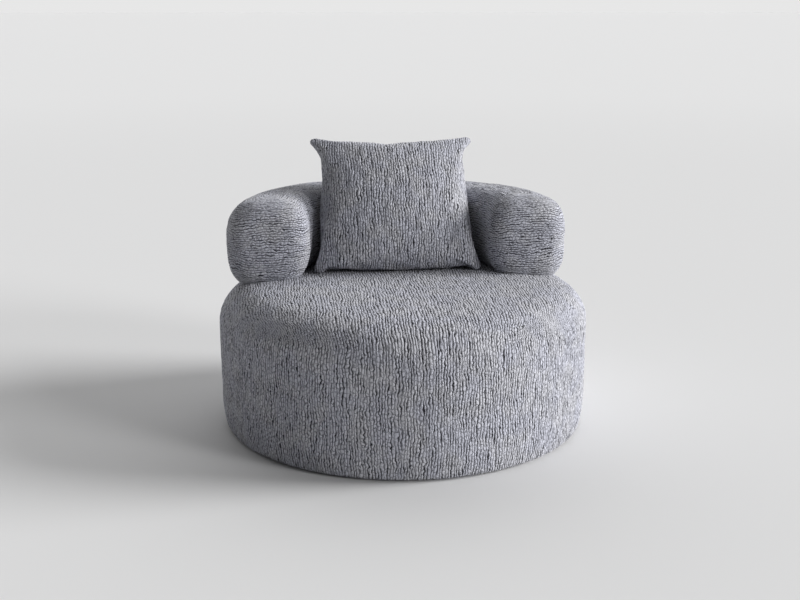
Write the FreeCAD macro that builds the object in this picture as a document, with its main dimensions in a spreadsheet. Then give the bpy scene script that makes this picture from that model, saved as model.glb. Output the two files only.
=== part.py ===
import FreeCAD, Part
import Sketcher
import math
import os
from types import SimpleNamespace

from FreeCAD import Placement, Rotation, Vector

# A round upholstered armchair: a drum seat, a C-shaped roll that is back and arms in one,
# and a loose pillow. Millimetres and degrees, +Z up, the front towards -Y, the origin on
# the drum's axis at the floor.

SIZES = {
    # drum, outside of the cover
    "drum_diameter": 1080,
    "seat_height": 396,
    "seat_crown": 8,
    "crown_span": 460,
    "shoulder_run": 117,
    "shoulder_drop": 83,
    "shoulder_radius": 78,
    "draw_in_radius": 368,
    "draw_in_height": 97,
    "hem_radius": 12,
    "hem_width": 45,
    # soft layers
    "cover_thickness": 3,
    "skin_gap": 0.3,
    "seat_foam_thickness": 120,
    "felt_thickness": 4,
    "dust_thickness": 1,
    # timber frame
    "side_padding": 45,
    "frame_diameter": "=drum_diameter - 2 * side_padding",
    "board_thickness": 18,
    "base_ring_width": 120,
    "top_ring_width": 165,
    "liner_thickness": 3,
    "liner_gap": 0.6,
    "post_count": 8,
    "post_side": 45,
    "post_inset": 4,
    "rail_width": 40,
    "rail_depth": 60,
    # elastic webbing
    "strap_width": 70,
    "strap_thickness": 2,
    "strap_count": 5,
    "strap_edge": 15,
    "strap_pitch": "=(frame_diameter / 2 - top_ring_width - strap_edge) * 2 / (strap_count + 1)",
    "strap_lap": 35,
    "strap_tab": 30,
    "strap_ramp": 15,
    # screws and glides
    "screw_diameter": 5,
    "screw_head_diameter": 10,
    "screw_head_height": 2,
    "screw_length": 60,
    "thread_gap": 0.1,
    "glide_count": 8,
    "glide_height": 5,
    "glide_diameter": 32,
    "glide_inset": 65,
    "glide_recess": 3.5,
    "glide_edge": 1.5,
    "glide_screw_length": 18,
    # roll, outside of the cover
    "roll_margin": 12.5,
    "roll_set_back": 20,
    "roll_width": 243,
    "roll_radius": "=drum_diameter / 2 - roll_margin - roll_set_back - roll_width / 2",
    "roll_height": 259,
    "roll_top_round": 95,
    "roll_foot_round": 72,
    "roll_tip_round": 68,
    "arm_reach": 96,
    "foam_block": 24,
    "glue_gap": 0.3,
    # roll carcass and its fixings; the carcass stands on the flat of the roll's foot
    "carcass_margin": 2,
    "carcass_width": "=roll_width - 2 * roll_foot_round - 2 * carcass_margin",
    "carcass_height": 150,
    "carcass_short": 11,
    "plate_thickness": 15,
    "stud_diameter": 10,
    "stud_pitch": 45,
    "stud_end": 4,
    "tube_diameter": 18,
    "tube_wall": 3,
    "tee_flange_diameter": 26,
    "tee_flange_thickness": 2,
    "tee_barrel_diameter": 13,
    "washer_diameter": 30,
    "washer_thickness": 2.5,
    "nut_across_flats": 17,
    "nut_height": 8,
    # pillow
    "pillow_width": 490,
    "pillow_height": 432,
    "pillow_thickness": 150,
    "pillow_side_draw": 26,
    "pillow_top_draw": 20,
    "pillow_foot_draw": 6,
    "pillow_lean": 22,
    "pillow_cover_thickness": 2.5,
    "rest_gap": 0.3,
}

STUD_STEPS = (-1.5, -0.5, 0.5, 1.5)
RIB_STEPS = (-1, 0, 1)
FOAM_JOINTS = (-3, -2, -1, 0, 1, 2, 3)

doc = FreeCAD.newDocument("round_armchair")
sheet = doc.addObject("Spreadsheet::Sheet", "sizes")
for row, alias in enumerate(SIZES, 1):
    sheet.set(f"A{row}", alias)
    sheet.setAlias(f"B{row}", alias)
for row, content in enumerate(SIZES.values(), 1):
    sheet.set(f"B{row}", str(content))
doc.recompute()


class Size:
    """A number together with the sheet formula that gives it."""

    def __init__(self, value, text=None):
        self.value = float(value)
        self.bound = text is not None
        self.text = text if self.bound else repr(float(value))

    def join(self, sign, other, value):
        joined = Size(value, f"({self.text} {sign} {other.text})")
        joined.bound = self.bound or other.bound
        return joined

    def __add__(self, other):
        other = size(other)
        return self.join("+", other, self.value + other.value)

    def __sub__(self, other):
        other = size(other)
        return self.join("-", other, self.value - other.value)

    def __mul__(self, other):
        other = size(other)
        return self.join("*", other, self.value * other.value)

    def __truediv__(self, other):
        other = size(other)
        return self.join("/", other, self.value / other.value)

    def __radd__(self, other):
        return size(other) + self

    def __rsub__(self, other):
        return size(other) - self

    def __rmul__(self, other):
        return size(other) * self

    def __rtruediv__(self, other):
        return size(other) / self

    def __neg__(self):
        return size(0) - self


def size(thing):
    return thing if isinstance(thing, Size) else Size(thing)


def function_of(name, argument, value):
    result = Size(value, f"{name}({argument.text})")
    result.bound = argument.bound
    return result


def root(thing):
    return function_of("sqrt", thing, math.sqrt(thing.value))


def sine(thing):
    thing = size(thing)
    return function_of("sin", thing, math.sin(math.radians(thing.value)))


def cosine(thing):
    thing = size(thing)
    return function_of("cos", thing, math.cos(math.radians(thing.value)))


dim = SimpleNamespace(**{alias: Size(getattr(sheet, alias), f"sizes.{alias}") for alias in SIZES})

# Levels and radii that several pieces share.
drum_radius = dim.drum_diameter / 2
frame_radius = dim.frame_diameter / 2
liner_radius = frame_radius + dim.skin_gap + dim.liner_thickness
foam_inset = dim.cover_thickness + dim.skin_gap
base_level = dim.glide_height + dim.cover_thickness
base_top = base_level + dim.board_thickness
foam_bottom = dim.seat_height - foam_inset - dim.seat_foam_thickness
felt_bottom = foam_bottom - dim.felt_thickness
deck_top = felt_bottom - 2 * dim.strap_thickness
deck_bottom = deck_top - dim.board_thickness
hem_edge = frame_radius - dim.hem_width
post_circle = frame_radius - dim.post_inset - dim.post_side / 2
glide_circle = frame_radius - dim.glide_inset
screw_radius = dim.screw_diameter / 2
screw_bore = screw_radius + dim.thread_gap
head_radius = dim.screw_head_diameter / 2
head_bore = head_radius + dim.skin_gap
plate_level = dim.seat_height + foam_inset
plate_top = plate_level + dim.plate_thickness
carcass_top = plate_level + dim.carcass_height
carcass_reach = dim.arm_reach - dim.carcass_short
tube_radius = dim.tube_diameter / 2
tube_hole = tube_radius + dim.skin_gap
stud_radius = dim.stud_diameter / 2
stud_bore = stud_radius + dim.thread_gap
washer_level = deck_bottom - dim.washer_thickness
nut_level = washer_level - dim.nut_height


# Sketches: every point, radius and level is tied to the sheet.

def origin_feature(body, role):
    return next(feature for feature in body.Origin.OriginFeatures if feature.Role == role)


def new_body(label):
    return doc.addObject("PartDesign::Body", label)


def new_sketch(body, name, role, level=0):
    sketch = body.newObject("Sketcher::SketchObject", name)
    sketch.AttachmentSupport = [(origin_feature(body, role), "")]
    sketch.MapMode = "FlatFace"
    sketch.setExpression("AttachmentOffset.Base.z", size(level).text)
    return sketch


def constrain(sketch, kind, references, amount):
    amount = size(amount)
    index = sketch.addConstraint(Sketcher.Constraint(kind, *references, amount.value))
    if amount.bound:
        sketch.setExpression(f"Constraints[{index}]", amount.text)


def pin(sketch, geometry, position, x, y):
    constrain(sketch, "DistanceX", (-1, 1, geometry, position), x)
    constrain(sketch, "DistanceY", (-1, 1, geometry, position), y)


def draw_circle(sketch, x, y, radius):
    x, y, radius = size(x), size(y), size(radius)
    centre = Vector(x.value, y.value, 0)
    geometry = sketch.addGeometry(Part.Circle(centre, Vector(0, 0, 1), radius.value), False)
    pin(sketch, geometry, 3, x, y)
    constrain(sketch, "Radius", (geometry,), radius)


def arc_between(start, end, radius, turn):
    # turn is 1 where the arc runs counter-clockwise from start to end, -1 where it runs clockwise
    chord = end - start
    across = Vector(-chord.y, chord.x, 0) * (turn / chord.Length)
    middle = (start + end) * 0.5
    centre = middle + across * math.sqrt(max(radius ** 2 - chord.Length ** 2 / 4, 0))
    first, last = (start, end) if turn > 0 else (end, start)
    angles = [math.atan2(point.y - centre.y, point.x - centre.x) for point in (first, last)]
    return Part.ArcOfCircle(Part.Circle(centre, Vector(0, 0, 1), radius), *angles)


def draw_outline(sketch, corners):
    # a corner is (x, y), or (x, y, radius, turn) where the stretch that leaves it is an arc
    corners = [(size(corner[0]), size(corner[1])) + tuple(corner[2:]) for corner in corners]
    points = [Vector(corner[0].value, corner[1].value, 0) for corner in corners]
    stretches = []
    for index, corner in enumerate(corners):
        start, end = points[index], points[(index + 1) % len(points)]
        if len(corner) == 2:
            geometry = sketch.addGeometry(Part.LineSegment(start, end), False)
            stretches.append((geometry, 1, 2))
            continue
        radius, turn = size(corner[2]), corner[3]
        geometry = sketch.addGeometry(arc_between(start, end, radius.value, turn), False)
        constrain(sketch, "Radius", (geometry,), radius)
        stretches.append((geometry, 1, 2) if turn > 0 else (geometry, 2, 1))
    for index, (geometry, start, end) in enumerate(stretches):
        following, first, last = stretches[(index + 1) % len(stretches)]
        sketch.addConstraint(Sketcher.Constraint("Coincident", geometry, end, following, first))
        pin(sketch, geometry, start, corners[index][0], corners[index][1])


# Features on those sketches.

def pad(body, sketch, length, midplane=False):
    feature = body.newObject("PartDesign::Pad", sketch.Name + "_pad")
    feature.Profile = sketch
    feature.Midplane = midplane
    feature.setExpression("Length", size(length).text)
    return feature


def pocket(body, sketch, length, upward=False):
    feature = body.newObject("PartDesign::Pocket", sketch.Name + "_pocket")
    feature.Profile = sketch
    feature.Reversed = upward
    feature.setExpression("Length", size(length).text)
    return feature


def revolve(body, sketch, angle=360, own_axis=None):
    # turns about the upright axis of the body, or about a parallel one at own_axis
    axis = "V_Axis"
    if own_axis is not None:
        line = Part.LineSegment(Vector(own_axis.value, 0, 0), Vector(own_axis.value, 1, 0))
        geometry = sketch.addGeometry(line, True)
        pin(sketch, geometry, 1, own_axis, 0)
        pin(sketch, geometry, 2, own_axis, 1)
        axis = "Axis0"
    feature = body.newObject("PartDesign::Revolution", sketch.Name + "_turn")
    feature.Profile = sketch
    feature.ReferenceAxis = (sketch, [axis])
    feature.Midplane = True
    feature.setExpression("Angle", size(angle).text)
    return feature


def polar(body, originals, count):
    feature = body.newObject("PartDesign::PolarPattern", body.Name + "_round")
    feature.Originals = originals
    feature.Axis = (origin_feature(body, "Z_Axis"), [""])
    feature.Angle = 360
    feature.setExpression("Occurrences", count.text)
    body.Tip = feature
    return feature


def fillet(body, feature, radius, wanted):
    # rounds the edges of which every sampled point is wanted
    doc.recompute()
    names = []
    for index, edge in enumerate(feature.Shape.Edges, 1):
        if all(wanted(point) for point in edge.discretize(7)):
            names.append(f"Edge{index}")
    rounding = body.newObject("PartDesign::Fillet", feature.Name + "_round")
    rounding.Base = (feature, names)
    rounding.setExpression("Radius", size(radius).text)
    return rounding


def ring_spots(radius, count):
    angles = [360 / count * index for index in range(int(count.value))]
    return [(radius * cosine(angle), radius * sine(angle)) for angle in angles]


def draw_circles(sketch, spots, radius):
    for x, y in spots:
        draw_circle(sketch, x, y, radius)


def rods(body, name, spots, radius, low, high, bore=None):
    sketch = new_sketch(body, name, "XY_Plane", low)
    draw_circles(sketch, spots, radius)
    if bore is not None:
        draw_circles(sketch, spots, bore)
    return pad(body, sketch, high - low)


def holes(body, name, spots, radius, level, depth, upward=False):
    sketch = new_sketch(body, name, "XY_Plane", level)
    draw_circles(sketch, spots, radius)
    return pocket(body, sketch, depth, upward)


def box(name, length, width, height, place):
    block = doc.addObject("Part::Box", name)
    for side, amount in zip(("Length", "Width", "Height"), (length, width, height)):
        block.setExpression(side, size(amount).text)
    block.Placement = place
    return block


def group(label, members):
    compound = doc.addObject("Part::Compound", label)
    compound.Links = members
    return compound


glide_spots = ring_spots(glide_circle, dim.glide_count)
post_spots = ring_spots(post_circle, dim.post_count)
stud_angles = [dim.stud_pitch * step for step in STUD_STEPS]
roll_spots = [(dim.roll_radius * sine(angle), dim.roll_radius * cosine(angle)) for angle in stud_angles]
stud_spots = [(x, y + dim.roll_set_back) for x, y in roll_spots]


# Timber frame.

def base_ring():
    body = new_body("base_ring")
    sketch = new_sketch(body, "base_ring_plan", "XY_Plane", base_level)
    draw_circle(sketch, 0, 0, frame_radius)
    draw_circle(sketch, 0, 0, frame_radius - dim.base_ring_width)
    draw_circles(sketch, glide_spots, screw_bore)
    draw_circles(sketch, post_spots, screw_bore)
    pad(body, sketch, dim.board_thickness)
    doc.recompute()
    holes(body, "base_ring_counterbores", post_spots, head_bore, base_level, dim.screw_head_height, True)


def top_ring():
    body = new_body("top_ring")
    sketch = new_sketch(body, "top_ring_plan", "XY_Plane", deck_bottom)
    draw_circle(sketch, 0, 0, frame_radius)
    draw_circle(sketch, 0, 0, frame_radius - dim.top_ring_width)
    draw_circles(sketch, post_spots, screw_bore)
    draw_circles(sketch, stud_spots, stud_bore)
    pad(body, sketch, dim.board_thickness)


def frame_posts():
    body = new_body("frame_posts")
    sketch = new_sketch(body, "post_plan", "XY_Plane", base_top)
    outer = frame_radius - dim.post_inset
    inner = outer - dim.post_side
    half = dim.post_side / 2
    draw_outline(sketch, [(inner, -half), (outer, -half), (outer, half), (inner, half)])
    post = pad(body, sketch, deck_bottom - base_top)
    doc.recompute()
    depth = dim.screw_length - dim.board_thickness + dim.skin_gap
    spot = [(post_circle, size(0))]
    foot_bore = holes(body, "post_foot_bore", spot, screw_bore, base_top, depth, True)
    head_end_bore = holes(body, "post_head_bore", spot, screw_bore, deck_bottom, depth)
    doc.recompute()
    polar(body, [post, foot_bore, head_end_bore], dim.post_count)


def frame_screws():
    body = new_body("frame_screws")
    under_head = base_level + dim.screw_head_height
    rods(body, "lower_screw_heads", post_spots, head_radius, base_level, under_head)
    rods(body, "lower_screw_shanks", post_spots, screw_radius, under_head, base_level + dim.screw_length)
    rods(body, "upper_screw_shanks", post_spots, screw_radius, deck_top - dim.screw_length, deck_top)
    rods(body, "upper_screw_heads", post_spots, head_radius, deck_top, deck_top + dim.screw_head_height)


def cross_rails():
    reach = frame_radius - dim.post_inset - dim.post_side - dim.skin_gap
    half = dim.rail_width / 2
    corner = Vector(-reach.value, -half.value, base_top.value)
    box("cross_rail_long", 2 * reach, dim.rail_width, dim.rail_depth, Placement(corner, Rotation()))
    halves = []
    for side, turn in (("front", 180), ("rear", 0)):
        about_axis = Placement(Vector(), Rotation(Vector(0, 0, 1), turn))
        start = Placement(Vector(-half.value, half.value, base_top.value), Rotation())
        halves.append(box(f"{side}_rail", dim.rail_width, reach - half, dim.rail_depth, about_axis * start))
    group("cross_rails_short", halves)


def wall_liner():
    body = new_body("wall_liner")
    middle = [(size(0), size(0))]
    rods(body, "liner_plan", middle, liner_radius, base_level, deck_top, frame_radius + dim.skin_gap)


# Elastic webbing: flat straps across, and straps along that ride over them and step down to the ring.

strap_steps = [step - (dim.strap_count.value - 1) / 2 for step in range(int(dim.strap_count.value))]


def strap_half_length(offset):
    reach = frame_radius - dim.top_ring_width + dim.strap_lap
    return root(reach * reach - offset * offset)


def webbing_across():
    straps = []
    for number, step in enumerate(strap_steps, 1):
        offset = dim.strap_pitch * step
        half = strap_half_length(offset)
        corner = Vector(-half.value, (offset - dim.strap_width / 2).value, deck_top.value)
        place = Placement(corner, Rotation())
        straps.append(box(f"strap_across_{number}", 2 * half, dim.strap_width, dim.strap_thickness, place))
    group("webbing_across", straps)


def webbing_along():
    body = new_body("webbing_along")
    low = deck_top
    high = deck_top + dim.strap_thickness
    top = high + dim.strap_thickness
    for number, step in enumerate(strap_steps, 1):
        offset = dim.strap_pitch * step
        end = strap_half_length(offset)
        tab = end - dim.strap_tab
        rise = tab - dim.strap_ramp
        right = [(rise, high), (tab, low), (end, low), (end, high), (tab, high), (rise, top)]
        left = [(-y, z) for y, z in reversed(right)]
        sketch = new_sketch(body, f"strap_along_{number}", "YZ_Plane", offset)
        draw_outline(sketch, right + left)
        pad(body, sketch, dim.strap_width, True)


# Drum upholstery, as turned profiles. The same outline, drawn further in, gives each layer.

shoulder_blend = (
    (dim.shoulder_run * dim.shoulder_run + dim.shoulder_drop * dim.shoulder_drop
     - 2 * dim.shoulder_run * dim.shoulder_radius) / (2 * (dim.shoulder_drop - dim.shoulder_radius))
)


def top_corners(inset):
    # from the axis out over the crown and the shoulder to the top of the straight side
    top = dim.seat_height - inset
    half_span = dim.crown_span / 2
    crown_radius = (half_span * half_span + dim.seat_crown * dim.seat_crown) / (2 * dim.seat_crown)
    centres = shoulder_blend - dim.shoulder_radius
    lean_r = (dim.shoulder_run - dim.shoulder_radius) / centres
    lean_z = (shoulder_blend - dim.shoulder_drop) / centres
    radius = dim.shoulder_radius - inset
    centre_r = drum_radius - dim.shoulder_radius
    centre_z = dim.seat_height - dim.shoulder_drop
    return [
        (size(0), top + dim.seat_crown, crown_radius, -1),
        (half_span, top),
        (drum_radius - dim.shoulder_run, top, shoulder_blend - inset, -1),
        (centre_r + radius * lean_r, centre_z + radius * lean_z, radius, -1),
        (drum_radius - inset, centre_z),
    ]


def foot_corners(inset):
    # from the foot of the straight side, drawn in, round the hem's edge to the underside
    hem_level = dim.glide_height + dim.hem_radius
    reach = dim.draw_in_radius - dim.hem_radius
    fall = dim.draw_in_height - hem_level
    run = root(reach * reach - fall * fall)
    centre_r = drum_radius - dim.draw_in_radius + run
    radius = dim.hem_radius - inset
    return [
        (drum_radius - inset, dim.draw_in_height, dim.draw_in_radius - inset, -1),
        (centre_r + radius * run / reach, hem_level - radius * fall / reach, radius, -1),
        (centre_r, dim.glide_height + inset),
    ]


def back_along(corners):
    # the same stretches, walked the other way
    walked = []
    for index in range(len(corners) - 1, -1, -1):
        stretch = corners[index - 1][2:] if index > 0 else ()
        arc = (stretch[0], -stretch[1]) if stretch else ()
        walked.append(tuple(corners[index][:2]) + arc)
    return walked


def turned(label, corners):
    body = new_body(label)
    sketch = new_sketch(body, label + "_profile", "XZ_Plane")
    draw_outline(sketch, corners)
    revolve(body, sketch)
    return body


def seat_cover():
    outside = top_corners(size(0)) + foot_corners(size(0))
    inside = top_corners(dim.cover_thickness) + foot_corners(dim.cover_thickness)
    hem = [(hem_edge, dim.glide_height), (hem_edge, base_level)]
    body = turned("seat_cover", outside + hem + back_along(inside))
    doc.recompute()
    holes(body, "seat_cover_holes", stud_spots, tube_hole, dim.seat_height, 2 * dim.cover_thickness)


def seat_foam():
    corners = top_corners(foam_inset)
    edge = corners[-1][0]
    body = turned("seat_foam", corners + [(edge, foam_bottom), (size(0), foam_bottom)])
    doc.recompute()
    holes(body, "seat_foam_holes", stud_spots, tube_hole, dim.seat_height, 2 * dim.seat_foam_thickness)


def side_foam():
    corners = foot_corners(foam_inset)
    inner = liner_radius + dim.liner_gap
    low = corners[-1][1]
    turned("side_foam", [(corners[0][0], foam_bottom)] + corners + [(inner, low), (inner, foam_bottom)])


def felt_pad():
    body = new_body("felt_pad")
    sketch = new_sketch(body, "felt_plan", "XY_Plane", felt_bottom)
    draw_circle(sketch, 0, 0, frame_radius)
    draw_circles(sketch, stud_spots, tube_hole)
    pad(body, sketch, dim.felt_thickness)


def dust_cover():
    body = new_body("dust_cover")
    sketch = new_sketch(body, "dust_cover_plan", "XY_Plane", base_level - dim.dust_thickness)
    draw_circle(sketch, 0, 0, hem_edge - dim.skin_gap)
    draw_circles(sketch, glide_spots, screw_bore)
    pad(body, sketch, dim.dust_thickness)


def glides():
    body = new_body("glides")
    sketch = new_sketch(body, "glide_profile", "XZ_Plane")
    edge = glide_circle + dim.glide_diameter / 2
    top = base_level - dim.dust_thickness
    draw_outline(sketch, [
        (glide_circle + head_bore, 0),
        (edge - dim.glide_edge, 0, dim.glide_edge, 1),
        (edge, dim.glide_edge),
        (edge, top),
        (glide_circle + screw_bore, top),
        (glide_circle + screw_bore, dim.glide_recess),
        (glide_circle + head_bore, dim.glide_recess),
    ])
    glide = revolve(body, sketch, own_axis=glide_circle)
    doc.recompute()
    polar(body, [glide], dim.glide_count)


def glide_screws():
    body = new_body("glide_screws")
    head_level = dim.glide_recess - dim.screw_head_height
    rods(body, "glide_screw_heads", glide_spots, head_radius, head_level, dim.glide_recess)
    shank_top = head_level + dim.glide_screw_length
    rods(body, "glide_screw_shanks", glide_spots, screw_radius, dim.glide_recess, shank_top)


# Roll: a rounded section turned about its own centre, with rounded arm ends.

def at_roll(body):
    body.setExpression("Placement.Base.y", dim.roll_set_back.text)


def degrees_along(length):
    return length / dim.roll_radius * 180 / math.pi


def roll_section(inset):
    inner = dim.roll_radius - dim.roll_width / 2 + inset
    outer = dim.roll_radius + dim.roll_width / 2 - inset
    low = dim.seat_height + inset
    high = dim.seat_height + dim.roll_height - inset
    foot = dim.roll_foot_round - inset
    crest = dim.roll_top_round - inset
    return [
        (inner + foot, low),
        (outer - foot, low, foot, 1),
        (outer, low + foot),
        (outer, high - crest, crest, 1),
        (outer - crest, high),
        (inner + crest, high, crest, 1),
        (inner, high - crest),
        (inner, low + foot, foot, 1),
    ]


def roll_form(label, inset):
    body = new_body(label)
    sketch = new_sketch(body, label + "_section", "YZ_Plane")
    draw_outline(sketch, roll_section(inset))
    reach = dim.arm_reach - degrees_along(inset)
    turn = revolve(body, sketch, 2 * reach)

    def at_arm_end(point):
        return abs(math.degrees(abs(math.atan2(point.x, point.y))) - reach.value) < 1e-4

    fillet(body, turn, dim.roll_tip_round - inset, at_arm_end)
    at_roll(body)
    return body


def roll_cover():
    outside = roll_form("roll_outside", size(0))
    inside = roll_form("roll_inside", dim.cover_thickness)
    bores = new_body("roll_cover_bores")
    below = dim.seat_height - dim.cover_thickness
    rods(bores, "roll_cover_bore_plan", roll_spots, tube_hole, below, plate_level)
    at_roll(bores)
    hollow = doc.addObject("Part::MultiFuse", "roll_hollow")
    hollow.Shapes = [inside, bores]
    cover = doc.addObject("Part::Cut", "roll_cover")
    cover.Base = outside
    cover.Tool = hollow


def draw_sector(sketch, inner, outer, reach):
    # a band about the roll's centre, the same reach to both sides of the back
    def spot(radius, angle):
        return radius * sine(angle), radius * cosine(angle)

    draw_outline(sketch, [
        spot(outer, -reach) + (outer, -1),
        spot(outer, 0) + (outer, -1),
        spot(outer, reach),
        spot(inner, reach) + (inner, 1),
        spot(inner, 0) + (inner, 1),
        spot(inner, -reach),
    ])


carcass_inner = dim.roll_radius - dim.carcass_width / 2
carcass_outer = dim.roll_radius + dim.carcass_width / 2


def roll_foam():
    # hollow over the carcass, and cut from slab in blocks that are glued end to end
    body = roll_form("roll_foam", foam_inset)
    doc.recompute()
    sketch = new_sketch(body, "roll_foam_hollow", "XY_Plane", dim.seat_height)
    reach = carcass_reach + degrees_along(dim.skin_gap)
    draw_sector(sketch, carcass_inner - dim.skin_gap, carcass_outer + dim.skin_gap, reach)
    pocket(body, sketch, carcass_top - dim.seat_height, True)
    doc.recompute()
    joints = new_sketch(body, "roll_foam_joints", "XY_Plane", dim.seat_height)
    inner = dim.roll_radius - dim.roll_width / 2
    outer = inner + dim.roll_width
    half = dim.glue_gap / 2
    ends = [(inner, -half), (outer, -half), (outer, half), (inner, half)]
    for step in FOAM_JOINTS:
        along, across = sine(dim.foam_block * step), cosine(dim.foam_block * step)
        draw_outline(joints, [(r * along + w * across, r * across - w * along) for r, w in ends])
    pocket(body, joints, dim.roll_height, True)


def roll_plates():
    lower = new_body("roll_base_plate")
    sketch = new_sketch(lower, "base_plate_plan", "XY_Plane", plate_level)
    draw_sector(sketch, carcass_inner, carcass_outer, carcass_reach)
    draw_circles(sketch, roll_spots, dim.tee_barrel_diameter / 2 + dim.thread_gap)
    pad(lower, sketch, dim.plate_thickness)
    at_roll(lower)
    upper = new_body("roll_top_plate")
    sketch = new_sketch(upper, "top_plate_plan", "XY_Plane", carcass_top - dim.plate_thickness)
    draw_sector(sketch, carcass_inner, carcass_outer, carcass_reach)
    pad(upper, sketch, dim.plate_thickness)
    at_roll(upper)


def roll_ribs():
    end = carcass_reach - degrees_along(dim.plate_thickness)
    angles = [-end] + [dim.stud_pitch * step for step in RIB_STEPS] + [end]
    height = carcass_top - dim.plate_thickness - plate_top
    centre = Vector(0, dim.roll_set_back.value, plate_top.value)
    foot = Placement(Vector(carcass_inner.value, -dim.plate_thickness.value / 2, 0), Rotation())
    ribs = []
    for number, angle in enumerate(angles, 1):
        turn = Rotation(Vector(0, 0, 1), 90 - angle.value)
        place = Placement(centre, turn) * foot
        ribs.append(box(f"roll_rib_{number}", dim.carcass_width, dim.plate_thickness, height, place))
    group("roll_ribs", ribs)


# Fixings that bolt the roll through the seat to the top ring.

def fixings():
    flange_top = plate_top + dim.tee_flange_thickness
    rods(new_body("roll_studs"), "stud_plan", stud_spots, stud_radius, nut_level - dim.stud_end, flange_top)
    tubes = new_body("spacer_tubes")
    rods(tubes, "tube_plan", stud_spots, tube_radius, deck_top, plate_level, tube_radius - dim.tube_wall)
    tees = new_body("tee_nuts")
    rods(tees, "tee_barrel_plan", stud_spots, dim.tee_barrel_diameter / 2, plate_level, plate_top, stud_bore)
    rods(tees, "tee_flange_plan", stud_spots, dim.tee_flange_diameter / 2, plate_top, flange_top, stud_bore)
    washers = new_body("stud_washers")
    rods(washers, "washer_plan", stud_spots, dim.washer_diameter / 2, washer_level, deck_bottom, stud_bore)


def stud_nuts():
    body = new_body("stud_nuts")
    sketch = new_sketch(body, "nut_plan", "XY_Plane", nut_level)
    corner = dim.nut_across_flats / 2 / cosine(30)
    for x, y in stud_spots:
        hexagon = [(x + corner * cosine(60 * side), y + corner * sine(60 * side)) for side in range(6)]
        draw_outline(sketch, hexagon)
    draw_circles(sketch, stud_spots, stud_bore)
    pad(body, sketch, dim.nut_height)


# Pillow: each half is a loft from the seam, whose sides are drawn in between the corners,
# up to a small flat on the crown.

PILLOW_STEPS = (0, 22.5, 45, 67.5, 84)
PILLOW_FULLNESS = 0.77
CORNER_THINNING = 0.16
SETTLE_ROUNDS = 3
SETTLE_TRIES = 12


def pillow_ring(width, height, middle, corner, level):
    across = width / 2 - dim.pillow_side_draw.value
    top = height / 2 - dim.pillow_top_draw.value
    foot = height / 2 - dim.pillow_foot_draw.value
    corners = [Vector(x * width / 2 * corner, y * height / 2 * corner, level) for x, y in
               ((-1, -1), (1, -1), (1, 1), (-1, 1))]
    middles = [Vector(x * middle, y * middle, level) for x, y in
               ((0, -foot), (across, 0), (0, top), (-across, 0))]
    arcs = [Part.Arc(corners[side], middles[side], corners[(side + 1) % 4]).toShape() for side in range(4)]
    return Part.Wire(arcs)


def pillow_form(inset):
    # the seam is drawn in twice as far as the faces, because the two faces meet there at a slant
    width = dim.pillow_width.value - 4 * inset
    height = dim.pillow_height.value - 4 * inset
    crown = dim.pillow_thickness.value / 2 - inset
    halves = []
    for side in (1, -1):
        rings = []
        for step in PILLOW_STEPS:
            angle = math.radians(step)
            middle = math.cos(angle) ** PILLOW_FULLNESS
            corner = middle * (1 - CORNER_THINNING * math.sin(2 * angle))
            rings.append(pillow_ring(width, height, middle, corner, side * crown * math.sin(angle)))
        halves.append(Part.makeLoft(rings, True, False))
    return halves[0].fuse(halves[1])


def settle(shape, turn):
    # lowers the pillow on to the seat and slides it back until it leans on the roll
    seat = doc.getObject("seat_cover").Shape
    roll = doc.getObject("roll_cover").Shape
    gap = dim.rest_gap.value
    place = Placement(Vector(0, 0, dim.seat_height.value + dim.pillow_height.value), turn)
    for seating in range(SETTLE_ROUNDS):
        for support, direction in ((seat, Vector(0, 0, -1)), (roll, Vector(0, 1, 0))):
            for attempt in range(SETTLE_TRIES):
                moved = shape.copy()
                moved.Placement = place
                room = moved.distToShape(support)[0] - gap
                if room < gap / 10:
                    break
                place = Placement(place.Base + direction * room, turn)
    return place


def pillow():
    outside = pillow_form(0)
    inside = pillow_form(dim.pillow_cover_thickness.value)
    insert = pillow_form(dim.pillow_cover_thickness.value + dim.skin_gap.value)
    turn = Rotation(Vector(1, 0, 0), 90 - dim.pillow_lean.value)
    place = settle(outside, turn)
    for label, shape in (("pillow_cover", outside.cut(inside)), ("pillow_insert", insert)):
        piece = doc.addObject("Part::Feature", label)
        piece.Shape = shape
        piece.Placement = place


base_ring()
cross_rails()
frame_posts()
top_ring()
frame_screws()
wall_liner()
webbing_across()
webbing_along()
felt_pad()
seat_foam()
side_foam()
seat_cover()
dust_cover()
glides()
glide_screws()
roll_plates()
roll_ribs()
roll_foam()
roll_cover()
fixings()
stud_nuts()
doc.recompute()
pillow()
doc.recompute()

PIECES = [
    "base_ring", "cross_rail_long", "cross_rails_short", "frame_posts", "top_ring", "frame_screws",
    "wall_liner", "webbing_across", "webbing_along", "felt_pad", "seat_foam", "side_foam", "seat_cover",
    "dust_cover", "glides", "glide_screws", "roll_base_plate", "roll_ribs", "roll_top_plate", "roll_foam",
    "roll_cover", "roll_studs", "spacer_tubes", "tee_nuts", "stud_washers", "stud_nuts",
    "pillow_insert", "pillow_cover",
]

for item in doc.Objects:
    if "Invalid" in item.State or "Error" in item.State:
        raise RuntimeError(f"{item.Name} did not build: {item.State}")

os.makedirs("parts", exist_ok=True)
for label in PIECES:
    piece = doc.getObject(label)
    if piece.Shape.isNull() or not piece.Shape.isValid():
        raise RuntimeError(f"{label} has no valid shape")
for label in PIECES:
    piece = doc.getObject(label)
    piece.Shape.exportStep(f"parts/{label}.step")
    print(f"{label}: {len(piece.Shape.Solids)} solid(s), {piece.Shape.Volume / 1000:.1f} cm3")
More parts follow.
